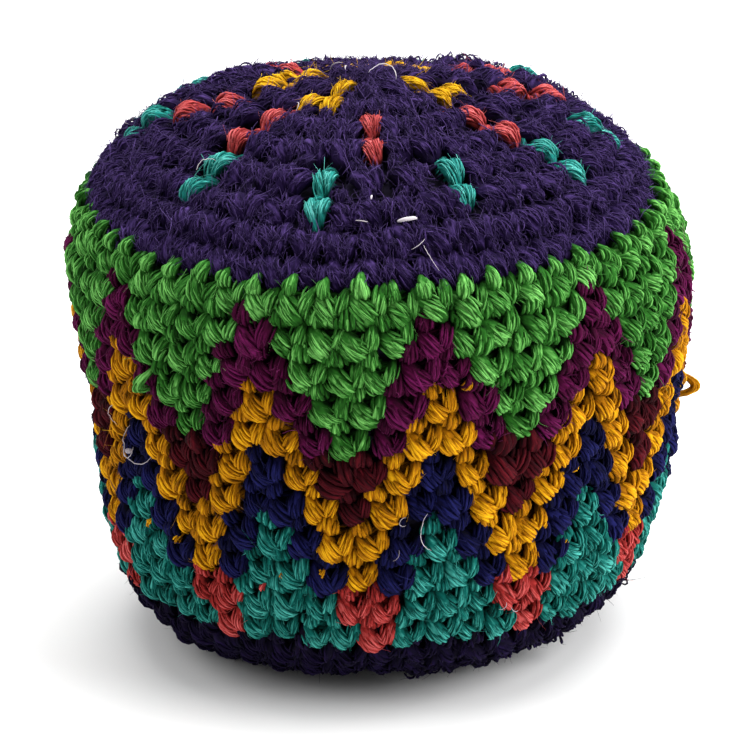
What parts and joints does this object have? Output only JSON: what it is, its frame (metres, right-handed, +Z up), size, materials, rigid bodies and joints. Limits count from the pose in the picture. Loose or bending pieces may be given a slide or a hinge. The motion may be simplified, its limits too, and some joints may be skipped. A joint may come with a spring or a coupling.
{
  "type": "crocheted footbag",
  "caption": "Plump drum-shaped kicking ball of crocheted yarn, with a zigzag pattern round its wall and flecks on its crown, stuffed with small pellets.",
  "frame": {"origin": "centre of the flat middle of the base disc, on the surface that the footbag stands on", "axes": "+Z up through the crown, -Y towards the front in the picture, +X to its right"},
  "size_m": [0.06, 0.06, 0.0552],
  "materials": {
    "purple": "matte plied yarn",
    "green": "matte plied yarn",
    "plum": "matte plied yarn",
    "maroon": "matte plied yarn",
    "gold": "matte plied yarn",
    "navy": "matte plied yarn",
    "teal": "matte plied yarn",
    "coral": "matte plied yarn",
    "pellet": "smooth plastic pellets"
  },
  "bodies": {
    "root": {"crown_disc": "purple", "green_band": "green", "plum_chevrons": "plum", "maroon_darts": "maroon", "gold_zigzag": "gold", "navy_chevrons": "navy", "teal_peaks": "teal", "coral_darts": "coral", "base_disc": "purple", "pellet_fill": "pellet", "crown_gold_fleck_1": "gold", "crown_gold_fleck_2": "gold", "crown_gold_fleck_3": "gold", "crown_gold_fleck_4": "gold", "crown_gold_fleck_5": "gold", "crown_coral_fleck_1": "coral", "crown_coral_fleck_2": "coral", "crown_coral_fleck_3": "coral", "crown_coral_fleck_4": "coral", "crown_coral_fleck_5": "coral", "crown_coral_fleck_6": "coral", "crown_coral_fleck_7": "coral", "crown_teal_fleck_1": "teal", "crown_teal_fleck_2": "teal", "crown_teal_fleck_3": "teal", "crown_teal_fleck_4": "teal", "crown_teal_fleck_5": "teal", "crown_teal_fleck_6": "teal", "crown_teal_fleck_7": "teal", "crown_teal_fleck_8": "teal", "crown_teal_fleck_9": "teal", "crown_teal_fleck_10": "teal"}
  },
  "joints": []
}
